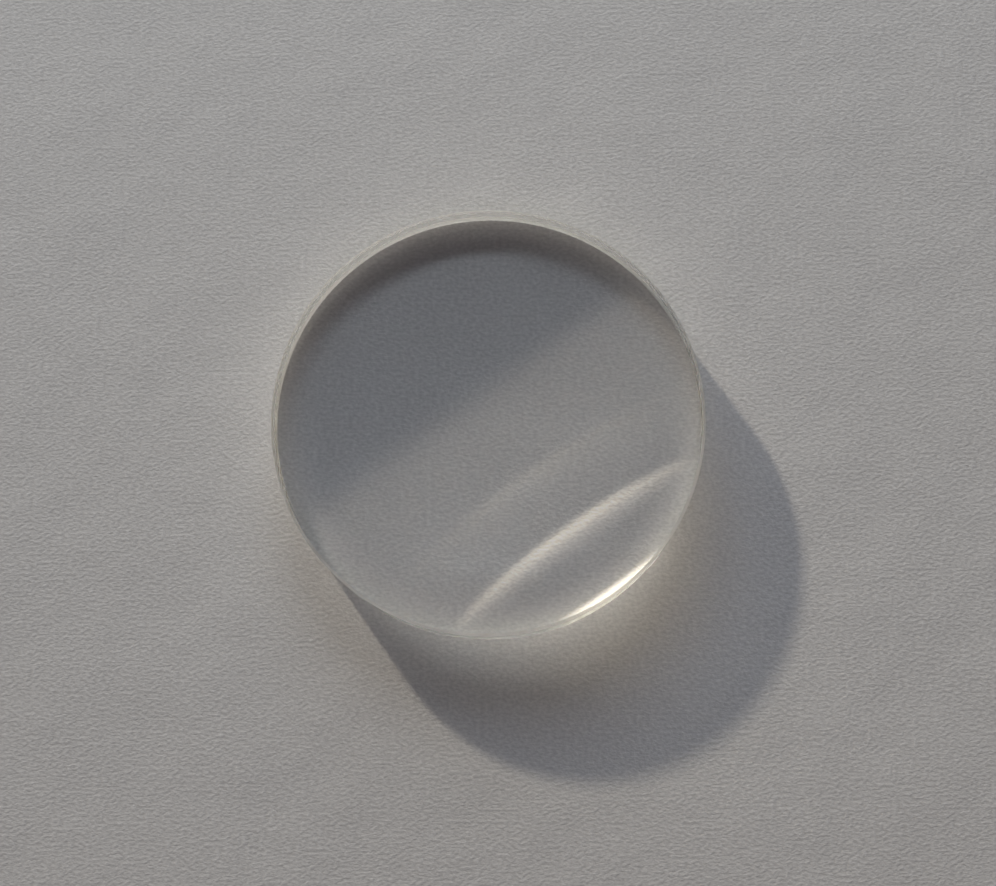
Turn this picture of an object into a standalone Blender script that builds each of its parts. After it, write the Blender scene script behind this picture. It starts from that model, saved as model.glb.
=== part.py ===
"""The glass of a hand lens: one loose plano-convex lens, lying on its flat face.

The lens is a single piece of clear glass. Its underside is polished flat, its top
is polished to a shallow sphere, and its edge is ground to a matt cylinder between
two small ground chamfers, which keep the rims from chipping.

Frame: metres, +Z along the optical axis, towards the convex face. The origin is the
centre of the flat face, so the lens stands on the XY plane.
"""

import math

import bpy
import bmesh

# Driving dimensions, in metres
LENS_DIAMETER = 0.050
EDGE_HEIGHT = 0.0058
TOP_RADIUS = 0.225
CHAMFER = 0.00035

# How finely the round shape is divided
SIDES = 96
TOP_RINGS = 8

# Looks
CLEAR_GLASS = (0.93, 0.95, 0.95, 1.0)
GROUND_GLASS = (0.86, 0.86, 0.83, 1.0)
GLASS_INDEX = 1.52

MERGE_DISTANCE = 0.000001

RADIUS = LENS_DIAMETER / 2
FACE_RADIUS = RADIUS - CHAMFER
POLISHED, GROUND = 0, 1


def remove_all_objects():
    """Clear the scene without closing the file that this script runs from."""
    for thing in list(bpy.data.objects):
        bpy.data.objects.remove(thing, do_unlink=True)


def glass_material(name, color, roughness):
    """A clear or a ground glass."""
    material = bpy.data.materials.new(name)
    material.use_nodes = True
    material.diffuse_color = color
    shader = material.node_tree.nodes["Principled BSDF"]
    shader.inputs["Base Color"].default_value = color
    shader.inputs["Metallic"].default_value = 0.0
    shader.inputs["Roughness"].default_value = roughness
    shader.inputs["IOR"].default_value = GLASS_INDEX
    shader.inputs["Transmission Weight"].default_value = 1.0
    return material


def top_height(radius):
    """Height of the convex face at a distance from the axis."""
    drop_at_rim = TOP_RADIUS - math.sqrt(TOP_RADIUS**2 - FACE_RADIUS**2)
    drop = TOP_RADIUS - math.sqrt(TOP_RADIUS**2 - radius**2)
    return EDGE_HEIGHT + drop_at_rim - drop


def lens_outline():
    """Half of the lens's section: from the top pole, down the edge, to the axis."""
    outline = []
    rim_angle = math.asin(FACE_RADIUS / TOP_RADIUS)
    for ring in range(TOP_RINGS + 1):
        radius = TOP_RADIUS * math.sin(rim_angle * ring / TOP_RINGS)
        outline.append((radius, top_height(radius)))
    outline.append((RADIUS, EDGE_HEIGHT - CHAMFER))
    outline.append((RADIUS, CHAMFER))
    outline.append((FACE_RADIUS, 0.0))
    outline.append((0.0, 0.0))
    return outline


def turned_mesh(name, outline):
    """Spin a half section once round the Z axis into a closed mesh."""
    shape = bmesh.new()
    points = [shape.verts.new((radius, 0.0, height)) for radius, height in outline]
    edges = [shape.edges.new(pair) for pair in zip(points, points[1:])]
    bmesh.ops.spin(
        shape,
        geom=points + edges,
        cent=(0.0, 0.0, 0.0),
        axis=(0.0, 0.0, 1.0),
        angle=math.tau,
        steps=SIDES,
    )
    bmesh.ops.remove_doubles(shape, verts=shape.verts, dist=MERGE_DISTANCE)
    bmesh.ops.recalc_face_normals(shape, faces=shape.faces)
    join_flat_face(shape)
    mark_ground_faces(shape)
    mesh = bpy.data.meshes.new(name)
    shape.to_mesh(mesh)
    shape.free()
    return mesh


def join_flat_face(shape):
    """Join the wedges of the underside into one flat face."""
    wedges = [face for face in shape.faces if face.normal.z < -0.999]
    bmesh.ops.dissolve_faces(shape, faces=wedges, use_verts=True)


def mark_ground_faces(shape):
    """The edge and the two chamfers are ground; the two optical faces are polished."""
    for face in shape.faces:
        on_the_edge = abs(face.normal.z) < 0.9
        face.material_index = GROUND if on_the_edge else POLISHED


def add_lens():
    """The lens, as one solid piece of glass."""
    mesh = turned_mesh("lens", lens_outline())
    mesh.materials.append(glass_material("polished_glass", CLEAR_GLASS, 0.0))
    mesh.materials.append(glass_material("ground_glass", GROUND_GLASS, 0.45))
    mesh.shade_smooth()
    mesh.set_sharp_from_angle(angle=math.radians(25))
    lens = bpy.data.objects.new("lens", mesh)
    bpy.context.scene.collection.objects.link(lens)
    return lens


def main():
    remove_all_objects()
    add_lens()


main()
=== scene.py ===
"""The looks of a loose hand lens glass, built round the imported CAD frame.

The object is one piece of clear glass that lies on its flat face: polished flat
below, polished to a shallow sphere above, and ground matt on its edge and on the
two small chamfers.

A path tracer can't find the light that a small low lamp sends through a lens, so
this script follows that light itself: it sends rays from the key light through the
glass, counts where they land, and gives the paper that much extra light. The paper
is part of the stage. The glass itself gets nothing but its real surfaces.
"""

import math

import bmesh
import bpy
import numpy as np
from mathutils import Matrix, Vector


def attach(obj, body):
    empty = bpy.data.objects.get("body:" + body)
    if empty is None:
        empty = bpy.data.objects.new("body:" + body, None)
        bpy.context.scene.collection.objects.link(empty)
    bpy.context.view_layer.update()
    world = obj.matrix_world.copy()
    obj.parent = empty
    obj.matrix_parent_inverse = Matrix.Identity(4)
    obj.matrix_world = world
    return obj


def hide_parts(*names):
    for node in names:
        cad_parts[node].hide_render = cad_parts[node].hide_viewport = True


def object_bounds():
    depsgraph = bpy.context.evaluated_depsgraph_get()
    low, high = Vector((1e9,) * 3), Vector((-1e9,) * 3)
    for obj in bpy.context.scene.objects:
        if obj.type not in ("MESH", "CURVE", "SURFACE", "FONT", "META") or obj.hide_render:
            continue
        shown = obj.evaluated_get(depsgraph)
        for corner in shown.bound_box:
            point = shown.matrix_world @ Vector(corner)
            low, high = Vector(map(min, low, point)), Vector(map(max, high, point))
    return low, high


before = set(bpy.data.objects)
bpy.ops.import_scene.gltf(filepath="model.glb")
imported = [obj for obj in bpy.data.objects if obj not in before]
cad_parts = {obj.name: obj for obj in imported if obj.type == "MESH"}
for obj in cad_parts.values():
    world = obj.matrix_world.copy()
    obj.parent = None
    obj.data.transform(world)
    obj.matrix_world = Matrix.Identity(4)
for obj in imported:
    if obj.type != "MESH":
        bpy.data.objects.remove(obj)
CAD_LOW, CAD_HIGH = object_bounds()

# The lens, in metres: the diameter and the height come from the frame
RADIUS = (CAD_HIGH.x - CAD_LOW.x) / 2
HEIGHT = CAD_HIGH.z
EDGE_HEIGHT = 0.0058
CHAMFER = 0.00035
FACE_RADIUS = RADIUS - CHAMFER
SAG = HEIGHT - EDGE_HEIGHT
TOP_RADIUS = (FACE_RADIUS**2 + SAG**2) / (2 * SAG)
GLASS_INDEX = 1.52
GROUND_ROUGHNESS = 0.85
GROUND_PALE = 0.12
GROUND_ROUGHNESS_SPREAD = 0.05
POLISHED_COLOR = (0.995, 1.0, 0.998)
GROUND_COLOR = (0.97, 0.955, 0.905)

# Marks on the glass: wiping marks and ripple where it is polished, rings and pits where it is ground
WIPE_LENGTH = 0.012
WIPE_WIDTH = 0.0015
WIPE_ROUGHNESS = 0.03
RIPPLE = 0.005
RIPPLE_DEPTH = 0.0000015
RING_LENGTH = 0.03
RING_WIDTH = 0.00015
RING_DEPTH = 0.000001
PIT = 0.0002
PIT_DEPTH = 0.000004

# The middle stretch of a noise texture, which the materials spread over their own range
NOISE_LOW = 0.35
NOISE_HIGH = 0.75

# How finely the visible mesh is divided
SIDES = 720
TOP_RINGS = 48
FLAT_RINGS = 16
EDGE_RINGS = 10
CHAMFER_RINGS = 3
SHARP_ANGLE = math.radians(25)
MERGE_DISTANCE = 1e-7
LEVEL_FACE = 0.9
POLISHED, GROUND = 0, 1

# The camera: a tilt from straight above, towards the bottom of the picture
CAMERA_TILT = math.radians(10.7)
CAMERA_AZIMUTH = math.radians(-79.8)
CAMERA_DISTANCE = 7.35 * RADIUS
CAMERA_TARGET = Vector((0.042 * RADIUS, -0.076 * RADIUS, 0.0))
SENSOR_WIDTH = 36.0
FOCAL_LENGTH = 56.2

# The lights
KEY_AZIMUTH = math.radians(125.4)
KEY_ELEVATION = math.radians(16.0)
KEY_SPREAD = math.radians(1.2)
KEY_STRENGTH = 1.775
KEY_COLOR = (1.0, 0.895, 0.74)
SOFTBOX_DISTANCE = 0.60
# Each softbox: azimuth, elevation and half angle in degrees, power in watts, colour
SOFTBOXES = {
    "window": (90, 23, 18, 1.36, (0.79, 0.875, 1.0)),
    "window_side": (120, 24, 16, 0.65, (0.90, 0.95, 1.0)),
    "overhead": (270, 64, 13, 0.20, (1.0, 0.85, 0.96)),
}
HORIZON_COLOR = (0.97, 0.94, 1.0)
HORIZON_STRENGTH = 0.28
# The sine of the elevation at which the pale horizon has faded into the sky
HORIZON_TOP = 0.30
SKY_STRENGTH = 0.01

# The paper under the lens
PAPER_COLOR = (0.80, 0.795, 0.775)
PAPER_ROUGHNESS = 0.9
PAPER_SPECULAR = 0.1
# How much the paper's colour follows its grain: partly the fibres' own tone, partly painted shade in the
# grain's hollows
FIBRE_TONE_AND_PAINTED_SHADE = 0.12
PAPER_SIZE = 1.6
PAPER_GAP = 0.00002
GRAIN = 0.00034
GRAIN_DEPTH = 0.000065
GRAIN_STRETCH = 1.5
WAVE = 0.012
WAVE_DEPTH = 0.00022

# The light that passes through the lens
LIGHT_CELL = 0.01 * RADIUS
LIGHT_REACH = 2.4 * RADIUS
LIGHT_RAYS = 3_000_000
LIGHT_BATCH = 250_000
LIGHT_STEPS = 14
LIGHT_SEED = 5
SURFACE_SLACK = 1e-7
SHORTEST_STEP = 1e-8
# A direction that is never along a surface normal here, to measure the facets' turn from
ODD_DIRECTION = (0.3, 0.5, 0.81)
# Just short of 1, so that a normal plus a unit vector times this is never nothing
SHORT_OF_ONE = 0.999
SHARP_BLUR = 1.1
SOFT_BLUR = 4.0


def light_direction(azimuth, elevation):
    """Unit vector from the lens towards a light."""
    level = math.cos(elevation)
    return Vector(
        (level * math.cos(azimuth), level * math.sin(azimuth), math.sin(elevation))
    )


def link(thing):
    bpy.context.scene.collection.objects.link(thing)
    return thing


# ---------------------------------------------------------------- the lens


def lens_outline():
    """Half of the lens's section, from the top pole down the edge to the axis."""
    rim_angle = math.asin(FACE_RADIUS / TOP_RADIUS)
    outline = []
    for ring in range(TOP_RINGS + 1):
        angle = rim_angle * ring / TOP_RINGS
        drop = TOP_RADIUS * (1 - math.cos(angle))
        outline.append((TOP_RADIUS * math.sin(angle), HEIGHT - drop))
    corners = [
        (RADIUS, EDGE_HEIGHT - CHAMFER, CHAMFER_RINGS),
        (RADIUS, CHAMFER, EDGE_RINGS),
        (FACE_RADIUS, 0.0, CHAMFER_RINGS),
        (0.0, 0.0, FLAT_RINGS),
    ]
    for radius, height, rings in corners:
        start_radius, start_height = outline[-1]
        for ring in range(1, rings + 1):
            part = ring / rings
            outline.append(
                (
                    start_radius + (radius - start_radius) * part,
                    start_height + (height - start_height) * part,
                )
            )
    return outline


def lens_mesh():
    shape = bmesh.new()
    points = [shape.verts.new((radius, 0.0, height)) for radius, height in lens_outline()]
    edges = [shape.edges.new(pair) for pair in zip(points, points[1:])]
    bmesh.ops.spin(
        shape,
        geom=points + edges,
        cent=(0.0, 0.0, 0.0),
        axis=(0.0, 0.0, 1.0),
        angle=math.tau,
        steps=SIDES,
    )
    bmesh.ops.remove_doubles(shape, verts=shape.verts, dist=MERGE_DISTANCE)
    bmesh.ops.recalc_face_normals(shape, faces=shape.faces)
    for face in shape.faces:
        face.material_index = GROUND if abs(face.normal.z) < LEVEL_FACE else POLISHED
    mesh = bpy.data.meshes.new("lens_glass")
    shape.to_mesh(mesh)
    shape.free()
    mesh.shade_smooth()
    mesh.set_sharp_from_angle(angle=SHARP_ANGLE)
    return mesh


def new_material(name):
    material = bpy.data.materials.new(name)
    material.use_nodes = True
    return material, material.node_tree, material.node_tree.nodes["Principled BSDF"]


def noise_texture(tree, scales, detail):
    """Noise in the object's own space, with its grain's size per metre along x, y, z."""
    place = tree.nodes.new("ShaderNodeTexCoord")
    mapping = tree.nodes.new("ShaderNodeMapping")
    mapping.inputs["Scale"].default_value = scales
    tree.links.new(place.outputs["Object"], mapping.inputs["Vector"])
    texture = tree.nodes.new("ShaderNodeTexNoise")
    texture.inputs["Scale"].default_value = 1.0
    texture.inputs["Detail"].default_value = detail
    tree.links.new(mapping.outputs["Vector"], texture.inputs["Vector"])
    return texture.outputs["Fac"]


def bumped(tree, height, depth, normal=None):
    """A bump of the given depth in metres, over another bump if one is given."""
    bump = tree.nodes.new("ShaderNodeBump")
    bump.inputs["Distance"].default_value = depth
    tree.links.new(height, bump.inputs["Height"])
    if normal:
        tree.links.new(normal, bump.inputs["Normal"])
    return bump.outputs["Normal"]


def spread(tree, value, low, high):
    """The value's middle stretch, spread from low to high."""
    spreader = tree.nodes.new("ShaderNodeMapRange")
    spreader.inputs["From Min"].default_value = NOISE_LOW
    spreader.inputs["From Max"].default_value = NOISE_HIGH
    spreader.inputs["To Min"].default_value = low
    spreader.inputs["To Max"].default_value = high
    tree.links.new(value, spreader.inputs["Value"])
    return spreader.outputs["Result"]


def polished_glass():
    """Clear glass with the faintest wiping marks and the wheel's last ripple."""
    material, tree, shader = new_material("polished_glass")
    shader.inputs["Base Color"].default_value = (*POLISHED_COLOR, 1.0)
    shader.inputs["IOR"].default_value = GLASS_INDEX
    shader.inputs["Transmission Weight"].default_value = 1.0
    wipes = noise_texture(tree, (1 / WIPE_LENGTH, 1 / WIPE_WIDTH, 1 / WIPE_LENGTH), 4.0)
    tree.links.new(spread(tree, wipes, 0.0, WIPE_ROUGHNESS), shader.inputs["Roughness"])
    ripple = noise_texture(tree, (1 / RIPPLE,) * 3, 1.0)
    tree.links.new(bumped(tree, ripple, RIPPLE_DEPTH), shader.inputs["Normal"])
    return material


def ground_glass():
    """The same glass, ground matt by an edging wheel that left fine rings."""
    material, tree, shader = new_material("ground_glass")
    shader.inputs["Base Color"].default_value = (*GROUND_COLOR, 1.0)
    shader.inputs["IOR"].default_value = GLASS_INDEX
    shader.inputs["Transmission Weight"].default_value = 1.0 - GROUND_PALE
    rings = noise_texture(tree, (1 / RING_LENGTH, 1 / RING_LENGTH, 1 / RING_WIDTH), 2.0)
    least = GROUND_ROUGHNESS - GROUND_ROUGHNESS_SPREAD
    most = GROUND_ROUGHNESS + GROUND_ROUGHNESS_SPREAD
    rough = spread(tree, rings, least, most)
    tree.links.new(rough, shader.inputs["Roughness"])
    pits = noise_texture(tree, (1 / PIT,) * 3, 2.0)
    relief = bumped(tree, pits, PIT_DEPTH, bumped(tree, rings, RING_DEPTH))
    tree.links.new(relief, shader.inputs["Normal"])
    return material


def add_lens():
    lens = link(bpy.data.objects.new("lens_glass", lens_mesh()))
    lens.data.materials.append(polished_glass())
    lens.data.materials.append(ground_glass())
    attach(lens, "root")
    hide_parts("lens")
    return lens


# ------------------------------------------- the light that the lens throws


def lens_surfaces():
    """Each surface as a turned quadric a(x²+y²) + b z² + c z + d = 0, with the heights
    and the radius that bound it, and whether it is ground."""
    middle = HEIGHT - TOP_RADIUS
    upper = RADIUS + EDGE_HEIGHT - CHAMFER
    return [
        ((1, 1, -2 * middle, middle**2 - TOP_RADIUS**2), EDGE_HEIGHT, HEIGHT + SURFACE_SLACK, RADIUS, False),
        ((1, -1, 2 * upper, -(upper**2)), EDGE_HEIGHT - CHAMFER, EDGE_HEIGHT, RADIUS + SURFACE_SLACK, True),
        ((1, 0, 0, -(RADIUS**2)), CHAMFER, EDGE_HEIGHT - CHAMFER, RADIUS + SURFACE_SLACK, True),
        ((1, -1, -2 * FACE_RADIUS, -(FACE_RADIUS**2)), 0.0, CHAMFER, RADIUS + SURFACE_SLACK, True),
        ((0, 0, -1, 0), -SURFACE_SLACK, SURFACE_SLACK, FACE_RADIUS, False),
    ]


def crossings(quadric, start, way):
    """The two distances at which rays cross a turned quadric, or infinity."""
    a, b, c, d = quadric
    square = a * (way[:, 0] ** 2 + way[:, 1] ** 2) + b * way[:, 2] ** 2
    linear = 2 * a * (start[:, 0] * way[:, 0] + start[:, 1] * way[:, 1])
    linear += (2 * b * start[:, 2] + c) * way[:, 2]
    fixed = a * (start[:, 0] ** 2 + start[:, 1] ** 2) + (b * start[:, 2] + c) * start[:, 2] + d
    root = np.sqrt(np.maximum(linear**2 - 4 * square * fixed, 0))
    real = linear**2 >= 4 * square * fixed
    half = -0.5 * (linear + np.where(linear >= 0, root, -root))
    with np.errstate(divide="ignore", invalid="ignore"):
        both = np.stack([half / square, fixed / half])
    return np.where(real & np.isfinite(both), both, np.inf)


def first_hit(start, way, surfaces):
    """The nearest lens surface on each ray: its distance and its number, or -1."""
    nearest = np.full(len(start), np.inf)
    number = np.full(len(start), -1)
    for index, (quadric, low, high, reach, _) in enumerate(surfaces):
        for distance in crossings(quadric, start, way):
            ahead = (distance > SHORTEST_STEP) & (distance < nearest)
            point = start + np.where(ahead, distance, 0)[:, None] * way
            radius = np.hypot(point[:, 0], point[:, 1])
            inside = (point[:, 2] >= low) & (point[:, 2] <= high) & (radius <= reach)
            hit = ahead & inside
            nearest[hit] = distance[hit]
            number[hit] = index
    return nearest, number


def surface_normals(point, number, surfaces):
    quadrics = np.array([surface[0] for surface in surfaces])[number]
    normal = np.stack(
        [
            2 * quadrics[:, 0] * point[:, 0],
            2 * quadrics[:, 0] * point[:, 1],
            2 * quadrics[:, 1] * point[:, 2] + quadrics[:, 2],
        ],
        axis=1,
    )
    return normal / np.linalg.norm(normal, axis=1, keepdims=True)


def tilted(normal, roughness, random):
    """Normals of the small facets that make a ground surface matt."""
    level = random.random(len(normal))
    turn = random.random(len(normal)) * math.tau
    slope = roughness**2 * np.sqrt(level / (1 - level + 1e-9))
    side = np.cross(normal, ODD_DIRECTION)
    side /= np.linalg.norm(side, axis=1, keepdims=True)
    other = np.cross(normal, side)
    facet = normal + slope[:, None] * (
        np.cos(turn)[:, None] * side + np.sin(turn)[:, None] * other
    )
    return facet / np.linalg.norm(facet, axis=1, keepdims=True)


def bent(way, normal, facet, random):
    """Refract or mirror each ray at its facet, by Fresnel's law and by chance."""
    entering = (way * normal).sum(axis=1) < 0
    facet = np.where((way * facet).sum(axis=1, keepdims=True) > 0, -facet, facet)
    cosine = -(way * facet).sum(axis=1)
    before = np.where(entering, 1.0, GLASS_INDEX)
    after = np.where(entering, GLASS_INDEX, 1.0)
    ratio = before / after
    beyond = 1 - ratio**2 * (1 - cosine**2)
    through = np.sqrt(np.maximum(beyond, 0))
    upright = (before * cosine - after * through) / (before * cosine + after * through)
    level = (after * cosine - before * through) / (after * cosine + before * through)
    mirrored = random.random(len(way)) < np.where(beyond < 0, 1, (upright**2 + level**2) / 2)
    reflection = way + 2 * cosine[:, None] * facet
    refraction = ratio[:, None] * way + (ratio * cosine - through)[:, None] * facet
    new_way = np.where(mirrored[:, None], reflection, refraction)
    # A ground facet can send a ray to the wrong side of the surface: that ray is turned back
    away = (new_way * normal).sum(axis=1)
    wrong = (away > 0) != (entering == mirrored)
    new_way = np.where(wrong[:, None], new_way - 2 * away[:, None] * normal, new_way)
    return new_way / np.linalg.norm(new_way, axis=1, keepdims=True)


def thrown_back(way, normal, random):
    """Even scattering of rays, by Lambert's law, on the side that they came from."""
    side = np.where((way * normal).sum(axis=1, keepdims=True) > 0, -normal, normal)
    ball = random.normal(size=way.shape)
    ball /= np.linalg.norm(ball, axis=1, keepdims=True)
    new_way = side + SHORT_OF_ONE * ball
    return new_way / np.linalg.norm(new_way, axis=1, keepdims=True)


def key_rays(count, random):
    """Rays from the key light, spread evenly over the lens and its shadow."""
    throw = (HEIGHT + PAPER_GAP) / math.tan(KEY_ELEVATION - KEY_SPREAD)
    along = random.uniform(-RADIUS, RADIUS + throw, count)
    across = random.uniform(-RADIUS, RADIUS, count)
    area = (2 * RADIUS + throw) * 2 * RADIUS
    offset = KEY_SPREAD * np.sqrt(random.random(count))
    turn = random.random(count) * math.tau
    elevation = KEY_ELEVATION + offset * np.cos(turn)
    azimuth = KEY_AZIMUTH + offset * np.sin(turn) / np.cos(elevation)
    way = -np.stack(
        [
            np.cos(elevation) * np.cos(azimuth),
            np.cos(elevation) * np.sin(azimuth),
            np.sin(elevation),
        ],
        axis=1,
    )
    ahead_x, ahead_y = -math.cos(KEY_AZIMUTH), -math.sin(KEY_AZIMUTH)
    foot = np.stack(
        [
            along * ahead_x - across * ahead_y,
            along * ahead_y + across * ahead_x,
            np.full(count, -PAPER_GAP),
        ],
        axis=1,
    )
    start = foot - way * (4 * RADIUS + throw) / math.cos(KEY_ELEVATION)
    return start, way, area


def light_through_lens():
    """How much of the key light reaches each cell of the paper through the glass, as
    a share of what falls on open paper: by polished faces only, and by ground ones."""
    random = np.random.default_rng(LIGHT_SEED)
    surfaces = lens_surfaces()
    is_ground = np.array([surface[4] for surface in surfaces])
    cells = round(2 * LIGHT_REACH / LIGHT_CELL)
    counts = np.zeros((2, cells * cells))
    for _ in range(LIGHT_RAYS // LIGHT_BATCH):
        start, way, area = key_rays(LIGHT_BATCH, random)
        softened = np.zeros(len(start), dtype=bool)
        for step in range(LIGHT_STEPS):
            distance, number = first_hit(start, way, surfaces)
            landed = (number < 0) & (way[:, 2] < 0) & (step > 0)
            drop = (start[:, 2] + PAPER_GAP) / np.minimum(way[:, 2], -1e-9)
            foot = start - drop[:, None] * way
            column, row = (np.floor((foot[:, axis] + LIGHT_REACH) / LIGHT_CELL) for axis in (0, 1))
            on_map = landed & (column >= 0) & (column < cells) & (row >= 0) & (row < cells)
            for kind in (0, 1):
                chosen = on_map & (softened == bool(kind))
                cell = (row[chosen] * cells + column[chosen]).astype(int)
                counts[kind] += np.bincount(cell, minlength=cells * cells)
            going = number >= 0
            start, way, softened = start[going], way[going], softened[going]
            distance, number = distance[going], number[going]
            if not len(start):
                break
            start = start + distance[:, None] * way
            normal = surface_normals(start, number, surfaces)
            matt = is_ground[number]
            facet = normal.copy()
            facet[matt] = tilted(normal[matt], GROUND_ROUGHNESS, random)
            pale = matt & (random.random(len(matt)) < GROUND_PALE)
            scattered = thrown_back(way[pale], normal[pale], random)
            way = bent(way, normal, facet, random)
            way[pale] = scattered
            softened |= matt
    rays_per_cell = LIGHT_BATCH * (LIGHT_RAYS // LIGHT_BATCH) / area * LIGHT_CELL**2
    maps = counts.reshape(2, cells, cells) / rays_per_cell
    return blurred(maps[0], SHARP_BLUR), blurred(maps[1], SOFT_BLUR)


def blurred(values, width):
    """A Gaussian blur, its width in cells."""
    reach = math.ceil(3 * width)
    weights = np.exp(-0.5 * (np.arange(-reach, reach + 1) / width) ** 2)
    weights /= weights.sum()
    for axis in (0, 1):
        values = np.apply_along_axis(np.convolve, axis, values, weights, mode="same")
    return values


# ---------------------------------------------------------------- the stage


def paper_mesh():
    """A flat sheet with a fine square in the middle that carries the lens's light."""
    through_polish, through_ground = light_through_lens()
    cells = len(through_polish)
    inner = (np.arange(cells) + 0.5) * LIGHT_CELL - LIGHT_REACH
    line = np.concatenate([[-PAPER_SIZE / 2], inner, [PAPER_SIZE / 2]])
    side = len(line)
    x, y = np.meshgrid(line, line)
    points = np.stack([x, y, np.full_like(x, -PAPER_GAP)], axis=-1).reshape(-1, 3)
    corner = (np.arange(side - 1)[:, None] * side + np.arange(side - 1)[None, :]).ravel()
    faces = np.stack([corner, corner + 1, corner + side + 1, corner + side], axis=1)
    mesh = bpy.data.meshes.new("paper")
    mesh.from_pydata(points.tolist(), [], faces.tolist())
    for name, values in (("sharp_light", through_polish), ("soft_light", through_ground)):
        attribute = mesh.attributes.new(name, "FLOAT", "POINT")
        attribute.data.foreach_set("value", np.pad(values, 1).ravel().astype(np.float32))
    return mesh


def paper_material():
    material, tree, shader = new_material("paper")
    nodes, links = tree.nodes, tree.links
    shader.inputs["Roughness"].default_value = PAPER_ROUGHNESS
    shader.inputs["Specular IOR Level"].default_value = PAPER_SPECULAR

    waves = noise_texture(tree, (1 / WAVE, 1 / WAVE, 1 / WAVE), 2.0)
    fibres = noise_texture(tree, (1 / (GRAIN * GRAIN_STRETCH), 1 / GRAIN, 1 / GRAIN), 3.0)
    relief_normal = bumped(tree, fibres, GRAIN_DEPTH, bumped(tree, waves, WAVE_DEPTH))
    links.new(relief_normal, shader.inputs["Normal"])

    # The fibres' own uneven tone, and painted shade: the hollows between the fibres are a little darker than
    # the fibres, from the same noise as their bump
    fibre_tone_and_painted_shade = spread(tree, fibres, 1 - FIBRE_TONE_AND_PAINTED_SHADE, 1 + FIBRE_TONE_AND_PAINTED_SHADE)
    paper_tone_and_painted_shade = nodes.new("ShaderNodeVectorMath")
    paper_tone_and_painted_shade.operation = "SCALE"
    paper_tone_and_painted_shade.inputs[0].default_value = PAPER_COLOR
    links.new(fibre_tone_and_painted_shade, paper_tone_and_painted_shade.inputs["Scale"])
    links.new(paper_tone_and_painted_shade.outputs["Vector"], shader.inputs["Base Color"])

    # The sharp light grazes the grain as the key light does: brighter on slopes that face it
    toward_key = light_direction(KEY_AZIMUTH, KEY_ELEVATION)
    facing = nodes.new("ShaderNodeVectorMath")
    facing.operation = "DOT_PRODUCT"
    links.new(relief_normal, facing.inputs[0])
    facing.inputs[1].default_value = toward_key / toward_key.z
    relief = nodes.new("ShaderNodeMath")
    relief.operation = "MULTIPLY"
    links.new(facing.outputs["Value"], relief.inputs[0])
    sharp = nodes.new("ShaderNodeAttribute")
    sharp.attribute_name = "sharp_light"
    links.new(sharp.outputs["Fac"], relief.inputs[1])
    soft = nodes.new("ShaderNodeAttribute")
    soft.attribute_name = "soft_light"
    total = nodes.new("ShaderNodeMath")
    total.operation = "ADD"
    links.new(relief.outputs["Value"], total.inputs[0])
    links.new(soft.outputs["Fac"], total.inputs[1])
    strength = nodes.new("ShaderNodeMath")
    strength.operation = "MULTIPLY"
    strength.inputs[1].default_value = KEY_STRENGTH * math.sin(KEY_ELEVATION) / math.pi
    links.new(total.outputs["Value"], strength.inputs[0])
    glow = [paper * key for paper, key in zip(PAPER_COLOR, KEY_COLOR)]
    shader.inputs["Emission Color"].default_value = (*glow, 1.0)
    links.new(strength.outputs["Value"], shader.inputs["Emission Strength"])
    return material


def add_paper():
    paper = link(bpy.data.objects.new("paper", paper_mesh()))
    paper.data.materials.append(paper_material())


def add_key_light():
    """A small, low, warm light. Rays from the camera don't look for it by chance, because
    the light that it sends through the glass is already on the paper."""
    data = bpy.data.lights.new("key", "SUN")
    data.energy = KEY_STRENGTH
    data.color = KEY_COLOR
    data.angle = 2 * KEY_SPREAD
    data.cycles.use_multiple_importance_sampling = False
    key = link(bpy.data.objects.new("key", data))
    toward = light_direction(KEY_AZIMUTH, KEY_ELEVATION)
    key.rotation_mode = "QUATERNION"
    key.rotation_quaternion = toward.to_track_quat("Z", "Y")


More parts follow.
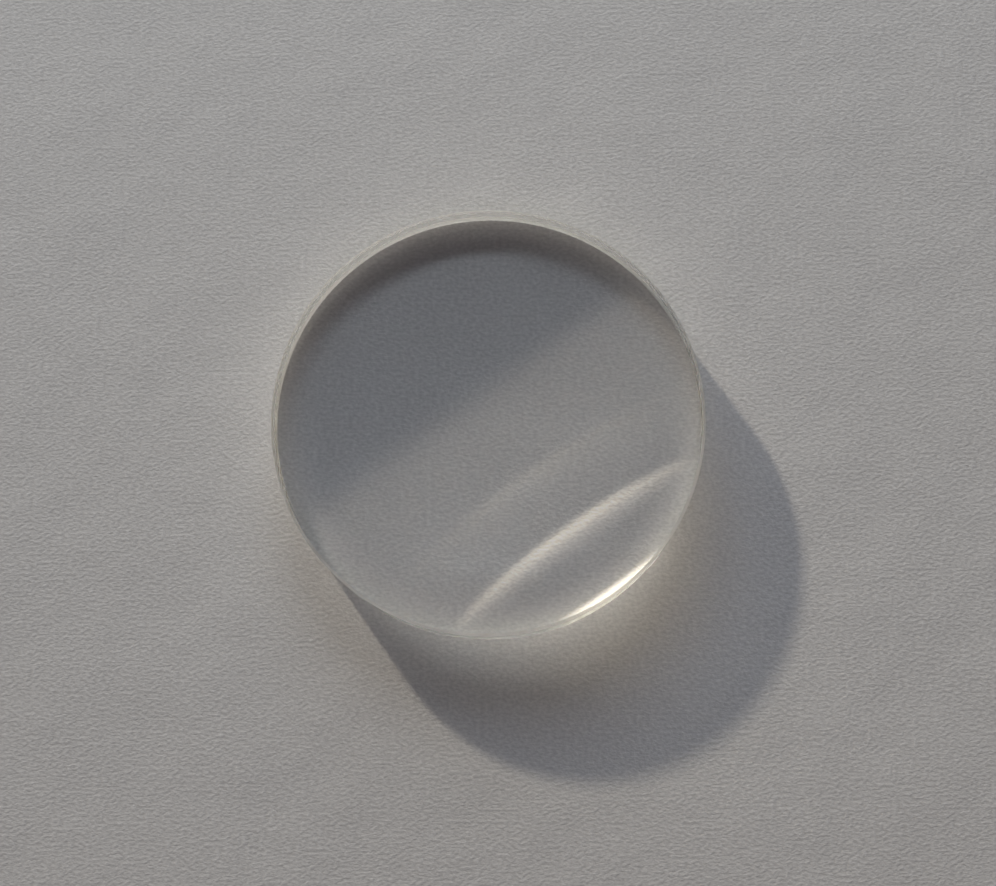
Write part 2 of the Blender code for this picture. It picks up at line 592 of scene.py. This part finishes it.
def add_softbox(name, azimuth, elevation, half_angle, power, color):
    data = bpy.data.lights.new(name, "AREA")
    data.shape = "DISK"
    data.size = 2 * SOFTBOX_DISTANCE * math.tan(math.radians(half_angle))
    data.energy = power
    data.color = color
    box = link(bpy.data.objects.new(name, data))
    toward = light_direction(math.radians(azimuth), math.radians(elevation))
    box.location = toward * SOFTBOX_DISTANCE
    box.rotation_mode = "QUATERNION"
    box.rotation_quaternion = toward.to_track_quat("Z", "Y")


def add_sky():
    """A dim sky with a paler band at the horizon, as a backdrop for low views."""
    world = bpy.data.worlds.new("sky")
    world.use_nodes = True
    nodes, links = world.node_tree.nodes, world.node_tree.links
    place = nodes.new("ShaderNodeTexCoord")
    parts = nodes.new("ShaderNodeSeparateXYZ")
    links.new(place.outputs["Generated"], parts.inputs["Vector"])
    fade = nodes.new("ShaderNodeMapRange")
    fade.interpolation_type = "SMOOTHSTEP"
    fade.inputs["From Min"].default_value = 0.0
    fade.inputs["From Max"].default_value = HORIZON_TOP
    fade.inputs["To Min"].default_value = HORIZON_STRENGTH
    fade.inputs["To Max"].default_value = SKY_STRENGTH
    links.new(parts.outputs["Z"], fade.inputs["Value"])
    background = nodes["Background"]
    background.inputs["Color"].default_value = (*HORIZON_COLOR, 1.0)
    links.new(fade.outputs["Result"], background.inputs["Strength"])
    bpy.context.scene.world = world


def add_camera():
    data = bpy.data.cameras.new("camera")
    data.sensor_width = SENSOR_WIDTH
    data.lens = FOCAL_LENGTH
    data.clip_start = RADIUS / 10
    camera = link(bpy.data.objects.new("camera", data))
    back = light_direction(CAMERA_AZIMUTH, math.pi / 2 - CAMERA_TILT)
    right = Vector((0.0, 1.0, 0.0)).cross(back).normalized()
    camera.location = CAMERA_TARGET + CAMERA_DISTANCE * back
    camera.rotation_mode = "QUATERNION"
    turned = Matrix((right, back.cross(right), back)).transposed()
    camera.rotation_quaternion = turned.to_quaternion()
    bpy.context.scene.camera = camera


add_camera()
add_lens()
add_paper()
add_key_light()
for softbox_name, softbox in SOFTBOXES.items():
    add_softbox(softbox_name, *softbox)
add_sky()
bpy.context.scene.view_settings.view_transform = "Standard"
bpy.context.scene.cycles.blur_glossy = 0.0
